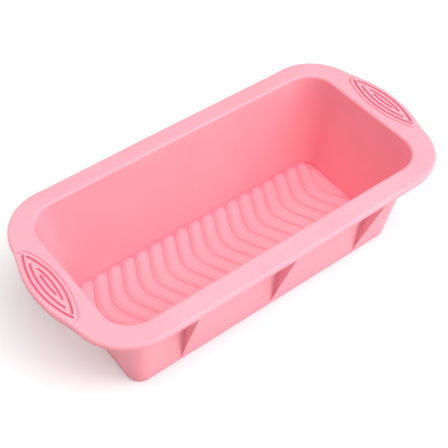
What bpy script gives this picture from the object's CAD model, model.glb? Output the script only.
import math

import bpy
import numpy as np
from mathutils import Matrix, Vector


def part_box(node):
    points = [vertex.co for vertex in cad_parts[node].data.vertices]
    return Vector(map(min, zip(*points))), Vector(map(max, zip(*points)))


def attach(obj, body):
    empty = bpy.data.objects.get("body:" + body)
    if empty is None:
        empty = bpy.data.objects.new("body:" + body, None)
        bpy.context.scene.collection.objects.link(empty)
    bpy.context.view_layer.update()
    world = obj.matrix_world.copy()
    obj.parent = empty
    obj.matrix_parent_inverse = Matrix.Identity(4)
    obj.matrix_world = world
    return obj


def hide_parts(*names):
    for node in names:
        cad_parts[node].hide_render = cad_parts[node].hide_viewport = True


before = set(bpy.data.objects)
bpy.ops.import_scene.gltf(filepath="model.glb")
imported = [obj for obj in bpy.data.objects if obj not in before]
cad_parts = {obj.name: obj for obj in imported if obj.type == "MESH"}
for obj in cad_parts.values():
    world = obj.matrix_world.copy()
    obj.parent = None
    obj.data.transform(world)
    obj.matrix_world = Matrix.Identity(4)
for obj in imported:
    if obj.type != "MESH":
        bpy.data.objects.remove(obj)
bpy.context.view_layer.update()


# ---- Tub and rim -------------------------------------------------------------------------
# The body of the mould is one skin of silicone rubber, cured in a heated two-part steel tool.
# The tub leans outwards so that the loaf slides out, and turns over at the top into a flat
# rim. Nothing is joined, so every edge and every inside corner is rounded.

MM = 0.001
floor_low, floor_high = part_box("floor_panel")
wall_low, wall_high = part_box("front_wall")
rim_low, rim_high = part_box("front_rim")
grip_low, grip_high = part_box("right_grip")
floor_top = floor_high.z
rim_under = rim_low.z
rim_top = rim_high.z
lean = (floor_low.y - wall_low.y) / (rim_under - floor_top)
steepness = math.atan(lean)
slant = math.hypot(1, lean)
wall_thickness = wall_high.y - floor_low.y
base_half_l = floor_high.x - lean * floor_top
base_half_w = -floor_low.y - lean * floor_top
grip_tip = grip_high.x

rim_half_l = 122.75 * MM
rim_half_w = -rim_low.y
rim_radius = 32.5 * MM
base_radius = 9 * MM
mouth_radius = 18.6 * MM
rim_bow = 0.3 * MM            # the long edges of the rim swell a little, midway along
rim_droop = 0.8 * MM          # and hang down by this much at their outer side
droop_fade = (80 * MM, 108 * MM)  # the droop dies out here, towards the rim's corners
bulge_radius = 79 * MM        # plan radius of the rim's end where it runs out into a grip
bulge_blend = 1.5 * MM        # how softly that bulge leaves the rim
bulge_fade = (38 * MM, 50 * MM)  # the bulge is gone past here, along Y
bulge_limit = 0.9 * bulge_radius  # its arc isn't worked out past here

floor_fillet = 1.4 * MM
mouth_rounding = 1.7 * MM
rim_top_rounding = 1.7 * MM
rim_under_rounding = 1.1 * MM
root_fillet = 2.5 * MM
foot_rounding = 2.6 * MM
smallest_radius = 0.2 * MM    # of any level line's corners

pad_overhang = 0.04 * MM      # the grip pad's outer side covers the rim's edge by this much
# The soft blend pushes the tip of the bulge out by this much, so the bulge starts further in
bulge_swell = bulge_blend ** 2 / 4 / (grip_tip - rim_half_l)
bulge_tip = grip_tip - bulge_swell - pad_overhang

# Stretches along each part of a quarter of a level line
END_STEPS, CORNER_STEPS, SIDE_STEPS = 30, 24, 44
# Level lines on the floor's fillet, on the rim's lower edge and on every other rounding
FILLET_STEPS, UNDER_STEPS, ROUNDING_STEPS = 6, 7, 9
# Level lines up a wall and across the rim
WALL_STEPS, RIM_STEPS = 16, 12
# Where the flat floor has its level lines, from its middle to its edge
FLOOR_SHARES = (0.05, 0.35, 0.7, 0.93)
SHARP_ANGLE = 40              # degrees, above which an edge isn't shaded smooth


def smooth_step(low, high, value):
    """Rises smoothly from 0 at low to 1 at high."""
    t = np.clip((value - low) / (high - low), 0, 1)
    return t * t * (3 - 2 * t)


def bulge_at(x, y):
    """How far the rim's outline at (x, y) moves out along X to run into the grip's bulge."""
    y = np.minimum(np.abs(y), bulge_limit)
    edge = bulge_tip - bulge_radius + np.sqrt(bulge_radius ** 2 - y ** 2)
    blended = (x + edge + np.sqrt((x - edge) ** 2 + bulge_blend ** 2)) / 2
    return (blended - x) * (1 - smooth_step(*bulge_fade, y))


def level_line(half_l, half_w, radius, z, bow=0.0, bulge=False):
    """One level line round the mould, anticlockwise from the middle of the right-hand end."""
    end_y = np.linspace(0, half_w - radius, END_STEPS, endpoint=False)
    turn = np.linspace(0, math.pi / 2, CORNER_STEPS, endpoint=False)
    along = np.linspace(1, 0, SIDE_STEPS)
    x = np.concatenate([
        np.full(END_STEPS, half_l),
        half_l - radius + radius * np.cos(turn),
        (half_l - radius) * along,
    ])
    y = np.concatenate([
        end_y,
        half_w - radius + radius * np.sin(turn),
        half_w + bow * np.cos(math.pi / 2 * along) ** 2,
    ])
    if bulge:
        x = x + bulge_at(x, y)
    quarter = np.stack([x, y], axis=1)
    left = quarter[-2::-1] * (-1, 1)
    front_left = quarter[1:] * (-1, -1)
    front_right = quarter[-2:0:-1] * (1, -1)
    loop = np.concatenate([quarter, left, front_left, front_right])
    return np.column_stack([loop, np.full(len(loop), z)])


def tub_line(out, z, inside):
    """A level line of the tub's wall. out is how far it lies outside the foot of the outer wall."""
    thickness = wall_thickness if inside else 0
    on_wall = lean * z - thickness
    radius = base_radius + (mouth_radius - base_radius) * z / rim_under - thickness / 2
    return level_line(
        base_half_l + out,
        base_half_w + out,
        max(radius + out - on_wall, smallest_radius),
        z,
    )


def arc(centre, radius, start, end, steps):
    """Points (out, z) on an arc, with its angles in degrees from straight out, upwards."""
    turn = np.radians(np.linspace(start, end, steps))
    return [(centre[0] + radius * math.cos(t), centre[1] + radius * math.sin(t)) for t in turn]


def skin(name, rings):
    """A piece whose closed mesh covers a row of rings, all with the same number of points."""
    rings = [np.asarray(ring, float) for ring in rings]
    count = len(rings[0])
    points = np.concatenate(rings)
    faces = []
    for k in range(len(rings) - 1):
        a, b = k * count, (k + 1) * count
        for j in range(count):
            n = (j + 1) % count
            faces.append((a + j, a + n, b + n, b + j))
    faces.append(tuple(range(count))[::-1])
    faces.append(tuple(range((len(rings) - 1) * count, len(rings) * count)))
    mesh = bpy.data.meshes.new(name)
    mesh.from_pydata(points.tolist(), [], faces)
    mesh.validate()
    mesh.update()
    mesh.shade_smooth()
    piece = bpy.data.objects.new(name, mesh)
    bpy.context.scene.collection.objects.link(piece)
    return piece


degrees_of_lean = math.degrees(steepness)
rings = []
# The floor inside, from its middle to the fillet
fillet_z = floor_top + floor_fillet
fillet_out = lean * fillet_z - wall_thickness - floor_fillet * slant
for share in FLOOR_SHARES:
    rings.append(tub_line(fillet_out, floor_top, True) * (share, share, 1))
for out, z in arc((fillet_out, fillet_z), floor_fillet, -90, -degrees_of_lean, FILLET_STEPS):
    rings.append(tub_line(out, z, True))
# Up the inner wall and over the mouth
mouth_z = rim_top - mouth_rounding
mouth_out = lean * mouth_z - wall_thickness + mouth_rounding * slant
for share in np.linspace(0, 1, WALL_STEPS)[1:-1]:
    z = fillet_z + (mouth_z - fillet_z) * share
    rings.append(tub_line(lean * z - wall_thickness, z, True))
for out, z in arc((mouth_out, mouth_z), mouth_rounding, 180 - degrees_of_lean, 90, ROUNDING_STEPS):
    rings.append(tub_line(out, z, True))


def rim_line(inset, z):
    """A level line of the rim's edge, inset from its outermost outline."""
    return level_line(
        rim_half_l - inset,
        rim_half_w - rim_bow - inset,
        rim_radius - inset,
        z,
        bow=rim_bow,
        bulge=True,
    )


def across_rim(start, end):
    """The level lines between two others."""
    return [start + (end - start) * t for t in np.linspace(0, 1, RIM_STEPS)[1:-1]]


# Across the rim, round its edge, and back underneath
mouth_edge = rings[-1]
top_edge = rim_line(rim_top_rounding, rim_top)
rings += across_rim(mouth_edge, top_edge)
for out, z in arc((0, rim_top - rim_top_rounding), rim_top_rounding, 90, 0, ROUNDING_STEPS):
    rings.append(rim_line(rim_top_rounding - out, z))
for out, z in arc((0, rim_under + rim_under_rounding), rim_under_rounding, 0, -90, UNDER_STEPS):
    rings.append(rim_line(rim_under_rounding - out, z))
under_edge = rings[-1]
root_z = rim_under - root_fillet
root_out = lean * root_z + root_fillet * slant
root_edge = tub_line(root_out, rim_under, False)
rings += across_rim(under_edge, root_edge)
for out, z in arc((root_out, root_z), root_fillet, 90, 180 - degrees_of_lean, ROUNDING_STEPS):
    rings.append(tub_line(out, z, False))
# Down the outer wall and round its foot
foot_out = lean * foot_rounding - foot_rounding * slant
for share in np.linspace(0, 1, WALL_STEPS)[1:-1]:
    z = root_z + (foot_rounding - root_z) * share
    rings.append(tub_line(lean * z, z, False))
for out, z in arc((foot_out, foot_rounding), foot_rounding, -degrees_of_lean, -90, ROUNDING_STEPS):
    rings.append(tub_line(out, z, False))
for share in reversed(FLOOR_SHARES):
    rings.append(tub_line(foot_out, 0, False) * (share, share, 1))


def hanging(ring):
    """A level line with its long sides let down where they lie outside the tub."""
    mouth_y = base_half_w + lean * rim_top
    out = np.clip((np.abs(ring[:, 1]) - mouth_y) / (rim_half_w - mouth_y), 0, 1)
    drop = rim_droop * out * (1 - smooth_step(*droop_fade, np.abs(ring[:, 0])))
    return np.column_stack([ring[:, :2], ring[:, 2] - drop])


tub = skin("tub_and_rim", [hanging(ring) for ring in rings])


def linear(hex_colour):
    """An sRGB hex colour as the linear values that a shader takes."""
    parts = [int(hex_colour[i:i + 2], 16) / 255 for i in (1, 3, 5)]
    return [c / 12.92 if c <= 0.04045 else ((c + 0.055) / 1.055) ** 2.4 for c in parts] + [1]


def socket_called(made, name):
    """The first input of that name which is in use, as some nodes have one for every data type."""
    return next(socket for socket in made.inputs if socket.name == name and socket.enabled)


def node(tree, kind, links=None, **settings):
    """Adds a node, sets its settings or input values, and links inputs to other sockets."""
    made = tree.nodes.new(kind)
    for name, value in settings.items():
        if hasattr(made, name):
            setattr(made, name, value)
        else:
            socket_called(made, name.replace("_", " ")).default_value = value
    for name, socket in (links or {}).items():
        tree.links.new(socket, socket_called(made, name))
    return made


drift_size = 35 * MM          # pigment and bloom drift over the surface at this scale
grain_size = 1.2 * MM         # the real grain is about 0.4 mm, too fine to show
wave_size = 28 * MM           # the rubber's slow unevenness
fold_depth = 5 * MM           # how far a fold's deeper colour reaches


def moulded_silicone(name, colour, pale, deep):
    """Silicone rubber with a pink pigment and the fine satin bloom of a spark-worn tool."""
    material = bpy.data.materials.new(name)
    material.use_nodes = True
    tree = material.node_tree
    tree.nodes.clear()
    place = node(tree, "ShaderNodeTexCoord").outputs["Object"]
    # The pigment is a little paler here and there, a few centimetres at a time
    drift = node(tree, "ShaderNodeTexNoise", {"Vector": place}, Scale=1 / drift_size, Detail=3.0)
    drifting = node(
        tree, "ShaderNodeMapRange", {"Value": drift.outputs["Fac"]},
        From_Min=0.3, From_Max=0.7,
    )
    body = node(
        tree, "ShaderNodeMix", {"Factor": drifting.outputs["Result"]},
        data_type="RGBA", A=linear(colour), B=linear(pale),
    )
    # In grooves and inside corners light passes through more rubber, so they look deeper
    fold = node(tree, "ShaderNodeAmbientOcclusion", samples=8, Distance=fold_depth)
    folded = node(
        tree, "ShaderNodeMapRange", {"Value": fold.outputs["AO"]},
        From_Min=0.25, From_Max=0.9, To_Min=1.0, To_Max=0.0,
    )
    pigment = node(
        tree, "ShaderNodeMix", {"Factor": folded.outputs["Result"], "A": body.outputs["Result"]},
        data_type="RGBA", B=linear(deep),
    )
    # Cured rubber is never quite flat, and the tool leaves its grain, drawn coarser to show
    wave = node(tree, "ShaderNodeTexNoise", {"Vector": place}, Scale=1 / wave_size, Detail=1.0)
    waved = node(
        tree, "ShaderNodeBump", {"Height": wave.outputs["Fac"]},
        Strength=0.25, Distance=1 * MM,
    )
    grain = node(tree, "ShaderNodeTexNoise", {"Vector": place}, Scale=1 / grain_size, Detail=2.0)
    grained = node(
        tree, "ShaderNodeBump", {"Height": grain.outputs["Fac"], "Normal": waved.outputs["Normal"]},
        Strength=0.12, Distance=0.1 * MM,
    )
    # The bloom gives broad soft highlights, a little glossier here and there
    rough = node(
        tree, "ShaderNodeMapRange", {"Value": drift.outputs["Fac"]},
        To_Min=0.52, To_Max=0.66,
    )
    surface = node(
        tree, "ShaderNodeBsdfPrincipled",
        {
            "Base Color": pigment.outputs["Result"],
            "Roughness": rough.outputs["Result"],
            "Normal": grained.outputs["Normal"],
        },
        IOR=1.41,
    )
    node(tree, "ShaderNodeOutputMaterial", {"Surface": surface.outputs["BSDF"]})
    return material


silicone = moulded_silicone("pink_silicone_satin_moulded", "#ee94a1", "#f29aa6", "#d25f7e")
tub.data.materials.append(silicone)
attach(tub, "root")
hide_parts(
    "floor_panel", "front_wall", "back_wall", "left_wall", "right_wall",
    "front_left_corner", "front_right_corner", "back_left_corner", "back_right_corner",
    "front_rim", "back_rim", "left_rim", "right_rim",
    "front_left_rim_corner", "front_right_rim_corner",
    "back_left_rim_corner", "back_right_rim_corner",
)


# ---- Wave ridges -------------------------------------------------------------------------
# Eighteen low ridges lie side by side across the floor, each in a lazy S, and print a wave
# into the loaf. They are part of the same silicone moulding, with broad round crests and
# narrow valleys, and run into the walls at both ends.

RIDGE_COUNT = 18
# The first and last ridges are cut off by the end walls, so sizes come from their neighbours
second_low, second_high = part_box("wave_ridge_02")
ridge_pitch = (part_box("wave_ridge_17")[0].x - second_low.x) / (RIDGE_COUNT - 3)
ridge_height = second_high.z - floor_top
ridge_swing = (second_high.x - second_low.x - ridge_pitch) / 2
wave_length = 57 * MM
# A ridge's solid goes down into the floor, and into the long walls and the end walls
ridge_sink = 0.9 * MM
ridge_half_l = second_high.y + 1.3 * MM
ridge_end_x = base_half_l + lean * floor_top - wall_thickness + 0.8 * MM
ridge_corner = base_radius    # the ridges stop within the tub's round corners
ridge_narrowest = 0.4 * MM    # a ridge ends where a corner leaves less of it than this
ridge_fullness = 1.5          # above 1, crests are broad and valleys narrow
valley_softness = 1.6         # above 1, valleys are rounded
CREST_STEPS, ALONG_STEPS = 18, 64


def ridge_ring(middle, y):
    """The section of a ridge at y, cut off where it reaches an end wall or a round corner."""
    into_corner = max(0, abs(y) - (ridge_half_l - ridge_corner))
    reach = ridge_end_x - ridge_corner + math.sqrt(ridge_corner ** 2 - into_corner ** 2)
    across = np.linspace(-1, 1, CREST_STEPS + 1)
    x = middle - ridge_swing * math.sin(2 * math.pi * y / wave_length) + across * ridge_pitch / 2
    rise = np.cos(math.pi / 2 * np.abs(across) ** ridge_fullness) ** valley_softness
    z = floor_top + ridge_height * rise
    x = np.clip(x, -reach, reach)
    top = np.column_stack([x, np.full_like(x, y), z])
    below = top[[-1, 0]] * (1, 1, 0) + (0, 0, floor_top - ridge_sink)
    return np.concatenate([top, below])


for i in range(RIDGE_COUNT):
    middle = (i - (RIDGE_COUNT - 1) / 2) * ridge_pitch
    name = f"wave_ridge_{i + 1:02d}"
    stations = np.linspace(-ridge_half_l, ridge_half_l, ALONG_STEPS + 1)
    rings = [ridge_ring(middle, y) for y in stations]
    wide_enough = [ring for ring in rings if np.ptp(ring[:, 0]) > ridge_narrowest]
    ridge = skin(name + "_moulded", wide_enough)
    ridge.data.materials.append(silicone)
    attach(ridge, "root")
    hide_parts(name)


# ---- Gussets -----------------------------------------------------------------------------
# Three thin webs on each long wall run from near the foot up to the underside of the rim.
# They stop the wall from bellying out when the mould is full. They are part of the same
# silicone moulding, thinner at the foot, with a rounded outer edge and a small root fillet.

gusset_low, gusset_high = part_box("front_middle_gusset")
gusset_foot_z = gusset_low.z
gusset_reach = -gusset_low.y
gusset_half_top = (gusset_high.x - gusset_low.x) / 2
gusset_half_foot = 0.5 * MM
gusset_rounding = 0.5 * MM    # of its outer edge
gusset_fillet = 0.35 * MM     # where it meets the wall
gusset_sink = 0.6 * MM        # it goes this far into the wall and the rim
gusset_least = 0.02 * MM      # it stands out this far even at its foot
rim_fillet = 1.6 * MM         # where it meets the rim
# Near the foot the fillet and the rounding take up at most these shares of its size
FILLET_OF_DEPTH, ROUNDING_OF_DEPTH, ROUNDING_OF_HALF = 0.6, 0.35, 0.6
TURN_STEPS, GUSSET_STEPS, FLARE_STEPS = 6, 36, 9
FLARE_START = 10              # degrees round the fillet under the rim


def gusset_ring(z):
    """The level section of a gusset at height z, from deep in the wall out to its edge and back."""
    share = (z - gusset_foot_z) / (rim_under - gusset_foot_z)
    near_rim = max(0, z - (rim_under - rim_fillet))
    flare = rim_fillet - math.sqrt(max(0, rim_fillet ** 2 - near_rim ** 2))
    wall = base_half_w + lean * z
    foot_wall = base_half_w + lean * gusset_foot_z
    edge = foot_wall + (gusset_reach - foot_wall) * share
    half = gusset_half_foot + (gusset_half_top - gusset_half_foot) * share + flare
    depth = max(edge - wall, gusset_least)
    fillet = min(gusset_fillet, FILLET_OF_DEPTH * depth)
    rounding = min(gusset_rounding, ROUNDING_OF_DEPTH * depth, ROUNDING_OF_HALF * half)
    side = [(half + fillet, wall - gusset_sink)]
    side += arc((half + fillet, wall + fillet), fillet, -90, -180, TURN_STEPS)
    side += arc((half - rounding, edge - rounding), rounding, 0, 90, TURN_STEPS)
    outline = side + [(-x, y) for x, y in reversed(side)]
    return np.array([(x, y, z) for x, y in outline])


gusset_heights = np.concatenate([
    np.linspace(gusset_foot_z, rim_under - rim_fillet, GUSSET_STEPS),
    rim_under - rim_fillet * (1 - np.sin(np.radians(np.linspace(FLARE_START, 90, FLARE_STEPS)))),
])
for side, facing in (("front", -1), ("back", 1)):
    for place in ("left", "middle", "right"):
        name = f"{side}_{place}_gusset"
        low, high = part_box(name)
        middle = (low.x + high.x) / 2
        rings = [gusset_ring(z) * (1, facing, 1) + (middle, 0, 0) for z in gusset_heights]
        rings.append(rings[-1] + (0, 0, gusset_sink))
        gusset = skin(name + "_moulded", rings if facing < 0 else rings[::-1])
        gusset.data.materials.append(silicone)
        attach(gusset, "root")
        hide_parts(name)


# ---- Grip pads ---------------------------------------------------------------------------
# Each end of the rim widens into a grip for a gloved thumb. On it stands a pad in the shape
# of half a lens, in a narrow sunk border, with five curved grooves so that wet or soapy
# fingers don't slip. It is part of the same silicone moulding as the rim.

pad_half_l = grip_high.y
pad_top = grip_high.z
pad_inner = grip_low.x
pad_radius = 70 * MM          # of its edge on the tub side
pad_tip = 3 * MM              # the pad's two ends are rounded off
border_width = 0.8 * MM
border_depth = 0.35 * MM
pad_shoulder = 1.1 * MM       # width of the soft step from the border up to the pad
border_end = (-3.6 * MM, -1.7 * MM)  # the border fades out here, from the pad's outer edge
pad_middle = (pad_inner + grip_tip) / 2
pad_edge_rounding = 1.3 * MM  # along the grip's outer edge
seat_z = rim_top - 2 * MM     # the rim is cut away under the pad, down to here
seat_clear = 1 * MM           # the block that cuts it stands this far above the pad
groove_radius = 62 * MM
groove_pitch = 2.95 * MM
groove_half_w = 0.8 * MM
groove_floor = 0.2 * MM       # half width of a groove's floor
groove_depth = 1.3 * MM
# Half the length of each groove, from left to right. They don't swap sides on the other grip
half_lengths = (27 * MM, 19 * MM, 8.7 * MM, 13.7 * MM, 24.7 * MM)
SEAT_SHARE = 0.9995           # of the pad's length, so that the pad hides its seat's ends
# Stretches across a pad, round its outer edge, along it and along its seat
ACROSS, EDGE_STEPS, LENGTHWISE, SEAT_STEPS = 110, 8, 236, 60


def pad_bounds(y):
    """The right-hand pad's inner and outer edge at y, along X."""
    inner = pad_inner + pad_radius - math.sqrt(pad_radius ** 2 - y * y)
    from_end = pad_half_l - abs(y)
    if from_end < pad_tip:
        inner += pad_tip - math.sqrt(max(0, pad_tip ** 2 - (pad_tip - from_end) ** 2))
    return inner, rim_half_l + float(bulge_at(np.array(rim_half_l), np.array(y))) + pad_overhang


def groove_at(x, y):
    """Share of the full groove depth at (x, y), with x from the middle of the pad."""
    sag = groove_radius - math.sqrt(groove_radius ** 2 - y ** 2)
    cut = np.zeros_like(x)
    for i, half_length in enumerate(half_lengths):
        at = (i - len(half_lengths) // 2) * groove_pitch
        middle = at - sag if at > 0 else at + sag
        away = np.hypot(x - middle, max(0, abs(y) - half_length + groove_half_w))
        cut = np.maximum(cut, 1 - smooth_step(groove_floor, groove_half_w, away))
    return cut


def pad_ring(y, facing):
    """The section of a pad at y, over its top and back underneath."""
    inner, outer = pad_bounds(y)
    turn = np.radians(np.linspace(90, 0, EDGE_STEPS))[1:]
    flat = np.linspace(inner, outer - pad_edge_rounding, ACROSS)
    x = np.concatenate([flat, outer - pad_edge_rounding + pad_edge_rounding * np.cos(turn)])
    drop = np.concatenate([np.zeros(ACROSS), pad_edge_rounding * (1 - np.sin(turn))])
    shoulder = (border_width / 2, border_width / 2 + pad_shoulder)
    rise = smooth_step(*shoulder, x - inner) * smooth_step(*shoulder, pad_half_l - abs(y))
    faded = smooth_step(*border_end, x - outer)
    low = rim_top - border_depth + (border_depth + pad_overhang) * faded
    cut = groove_depth * groove_at(facing * (x - pad_middle), y)
    top = np.column_stack([x, np.full_like(x, y), low + (pad_top - low) * rise - cut - drop])
    hidden = rim_under + rim_under_rounding
    under = np.array([(outer, y, hidden), (inner, y, hidden)])
    return np.concatenate([top, under]) * (facing, 1, 1)


def seat_ring(y, facing):
    """The section at y of a block in the shape of a pad, a little smaller."""
    inner, outer = pad_bounds(y)
    inner += pad_overhang / 2
    outer -= rim_top_rounding
    high = pad_top + seat_clear
    corners = [(inner, y, high), (outer, y, high), (outer, y, seat_z), (inner, y, seat_z)]
    return np.array(corners) * (facing, 1, 1)


for name, facing in (("left_grip", -1), ("right_grip", 1)):
    stations = np.linspace(-pad_half_l, pad_half_l, LENGTHWISE + 1) * facing
    pad = skin(name + "_pad", [pad_ring(y, facing) for y in stations])
    pad.data.materials.append(silicone)
    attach(pad, "root")
    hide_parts(name)
    # Cut the pad's seat out of the rim
    stations = np.linspace(-pad_half_l, pad_half_l, SEAT_STEPS + 1) * SEAT_SHARE * facing
    block = skin("seat_block", [seat_ring(y, facing) for y in stations])
    cut = tub.modifiers.new("seat", "BOOLEAN")
    cut.operation = "DIFFERENCE"
    cut.solver = "EXACT"
    cut.object = block
    shaped = tub.evaluated_get(bpy.context.evaluated_depsgraph_get())
    tub.data = bpy.data.meshes.new_from_object(shaped)
    tub.modifiers.clear()
    bpy.data.meshes.remove(block.data)
tub.data.shade_smooth()
tub.data.set_sharp_from_angle(angle=math.radians(SHARP_ANGLE))


# ---- View --------------------------------------------------------------------------------
# The mould stands on a sheet of white acrylic lit from below, in a tent of large soft boxes,
# so that there is hardly a shadow. A long lens looks down on it from the front left.

CAMERA_PLACE = (-0.22957, -0.30171, 0.46125)
CAMERA_AZIMUTH, CAMERA_ELEVATION, CAMERA_ROLL = -36.776, 48.233, -0.475
FOCAL_LENGTH = 76.0
# In metres: half the table's width, which keeps its edges out of sight, and the soft boxes'
# width and distance
TABLE_HALF = 4.0
BOX_SIZE = 1.2
BOX_DISTANCE = 1.8
# Azimuth from +X and elevation, in degrees, and power in watts
SOFT_BOXES = {
    "key_low": (315, 20, 18),
    "key_high": (315, 50, 13),
    "overhead": (270, 75, 25),
    "front_fill": (270, 45, 8),
    "left_fill": (170, 50, 3),
    "back_high": (135, 50, 7),
    "back_low": (107, 20, 8),
}

camera_data = bpy.data.cameras.new("camera")
camera_data.lens = FOCAL_LENGTH
camera = bpy.data.objects.new("camera", camera_data)
bpy.context.scene.collection.objects.link(camera)
azimuth, elevation = math.radians(CAMERA_AZIMUTH), math.radians(CAMERA_ELEVATION)
back = Vector((
    math.sin(azimuth) * math.cos(elevation),
    -math.cos(azimuth) * math.cos(elevation),
    math.sin(elevation),
))
level = back.to_track_quat("Z", "Y").to_matrix()
camera.location = CAMERA_PLACE
camera.rotation_euler = (level @ Matrix.Rotation(math.radians(CAMERA_ROLL), 3, "Z")).to_euler()
bpy.context.scene.camera = camera


mottle_size = 60 * MM
tooth_size = 1.5 * MM         # drawn coarser than the real tooth, which is too fine to show


def backlit_acrylic(name):
    """White acrylic with a matt face: a faint mottle, a fine tooth, and an even glow from below."""
    material = bpy.data.materials.new(name)
    material.use_nodes = True
    tree = material.node_tree
    tree.nodes.clear()
    place = node(tree, "ShaderNodeTexCoord").outputs["Object"]
    mottle = node(tree, "ShaderNodeTexNoise", {"Vector": place}, Scale=1 / mottle_size, Detail=2.0)
    white = node(
        tree, "ShaderNodeMix", {"Factor": mottle.outputs["Fac"]},
        data_type="RGBA", A=linear("#d1d1d1"), B=linear("#d5d5d5"),
    )
    tooth = node(tree, "ShaderNodeTexNoise", {"Vector": place}, Scale=1 / tooth_size, Detail=2.0)
    toothed = node(
        tree, "ShaderNodeBump", {"Height": tooth.outputs["Fac"]},
        Strength=0.1, Distance=0.1 * MM,
    )
    surface = node(
        tree, "ShaderNodeBsdfPrincipled",
        {"Base Color": white.outputs["Result"], "Normal": toothed.outputs["Normal"]},
        Roughness=0.9, Emission_Color=(1, 1, 1, 1), Emission_Strength=0.24,
    )
    node(tree, "ShaderNodeOutputMaterial", {"Surface": surface.outputs["BSDF"]})
    return material


sheet = bpy.data.meshes.new("table_top")
corners = [(x * TABLE_HALF, y * TABLE_HALF, 0) for x, y in ((-1, -1), (1, -1), (1, 1), (-1, 1))]
sheet.from_pydata(corners, [], [(0, 1, 2, 3)])
table = bpy.data.objects.new("table_top", sheet)
bpy.context.scene.collection.objects.link(table)
table.data.materials.append(backlit_acrylic("white_acrylic_matt_backlit"))

for name, (azimuth, elevation, power) in SOFT_BOXES.items():
    turn, lift = math.radians(azimuth), math.radians(elevation)
    aim = Vector((math.cos(turn) * math.cos(lift), math.sin(turn) * math.cos(lift), math.sin(lift)))
    box = bpy.data.lights.new(name, "AREA")
    box.shape = "SQUARE"
    box.size = BOX_SIZE
    box.energy = power
    light = bpy.data.objects.new(name, box)
    light.location = aim * BOX_DISTANCE
    light.rotation_euler = aim.to_track_quat("Z", "Y").to_euler()
    bpy.context.scene.collection.objects.link(light)
bpy.context.scene.view_settings.view_transform = "Standard"
